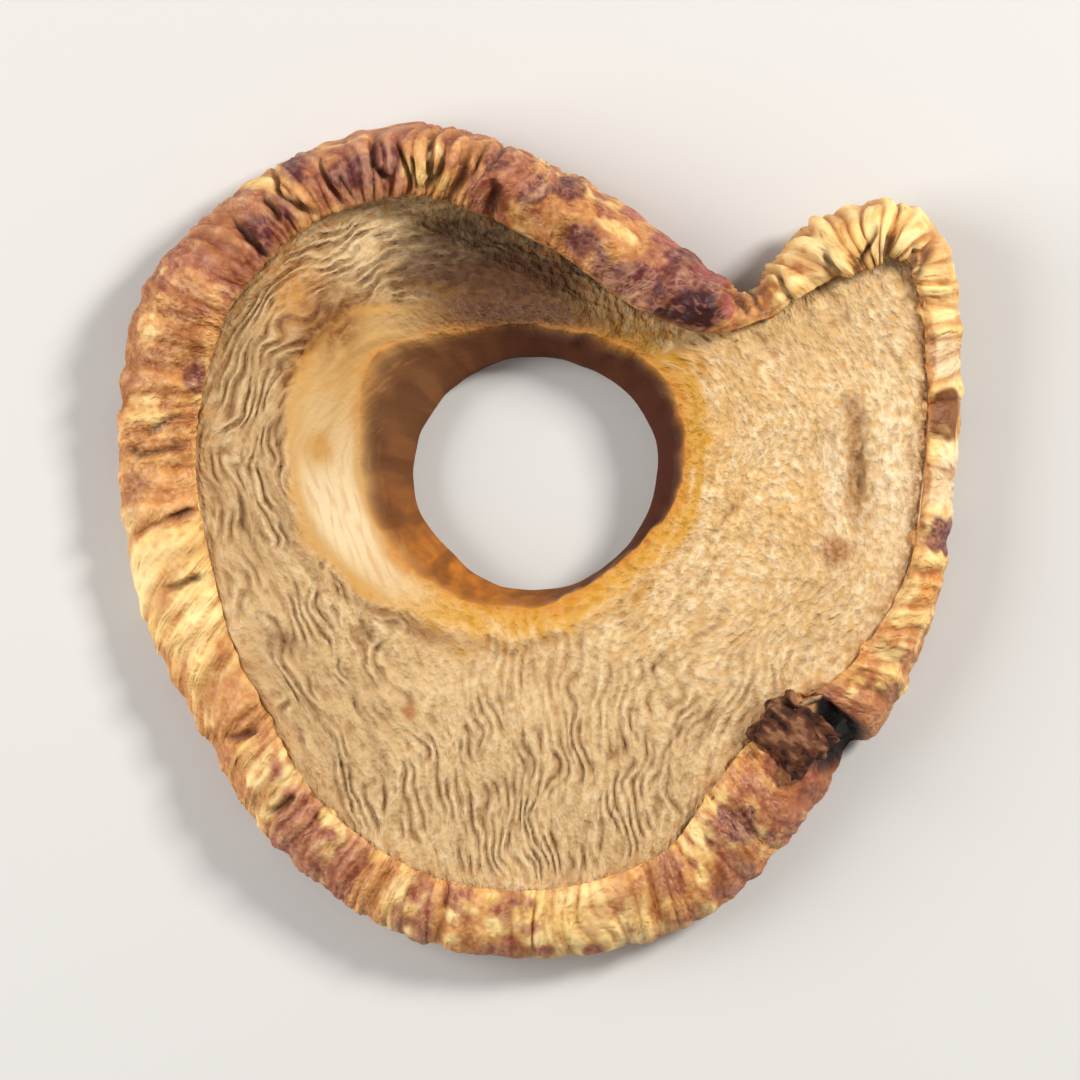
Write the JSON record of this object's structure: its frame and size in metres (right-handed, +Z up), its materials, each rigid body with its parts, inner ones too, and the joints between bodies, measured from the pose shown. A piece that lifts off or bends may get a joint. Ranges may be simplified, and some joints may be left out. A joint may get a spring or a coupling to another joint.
{
  "type": "dried apple ring",
  "caption": "Dried ring of unpeeled apple: a curled, puckered slice with a peel rim, a core hole right through and a woody scab at its edge.",
  "frame": {"origin": "bottom centre of the ring's box, on the surface it lies on", "axes": "+Z up, out of the shown cut face; +Y towards the folded-over top edge; +X towards the thin right edge"},
  "size_m": [0.0674, 0.0666, 0.0104],
  "materials": {
    "flesh": "dry, leathery dried fruit flesh, matte, with a waxy amber zone round the core hole",
    "peel": "puckered dried fruit peel, satin, yellow with purple-red and brown patches",
    "woody_tissue": "dark, dry, woody scab tissue, matte"
  },
  "bodies": {
    "root": {"dried_apple_ring": "flesh"}
  },
  "joints": []
}
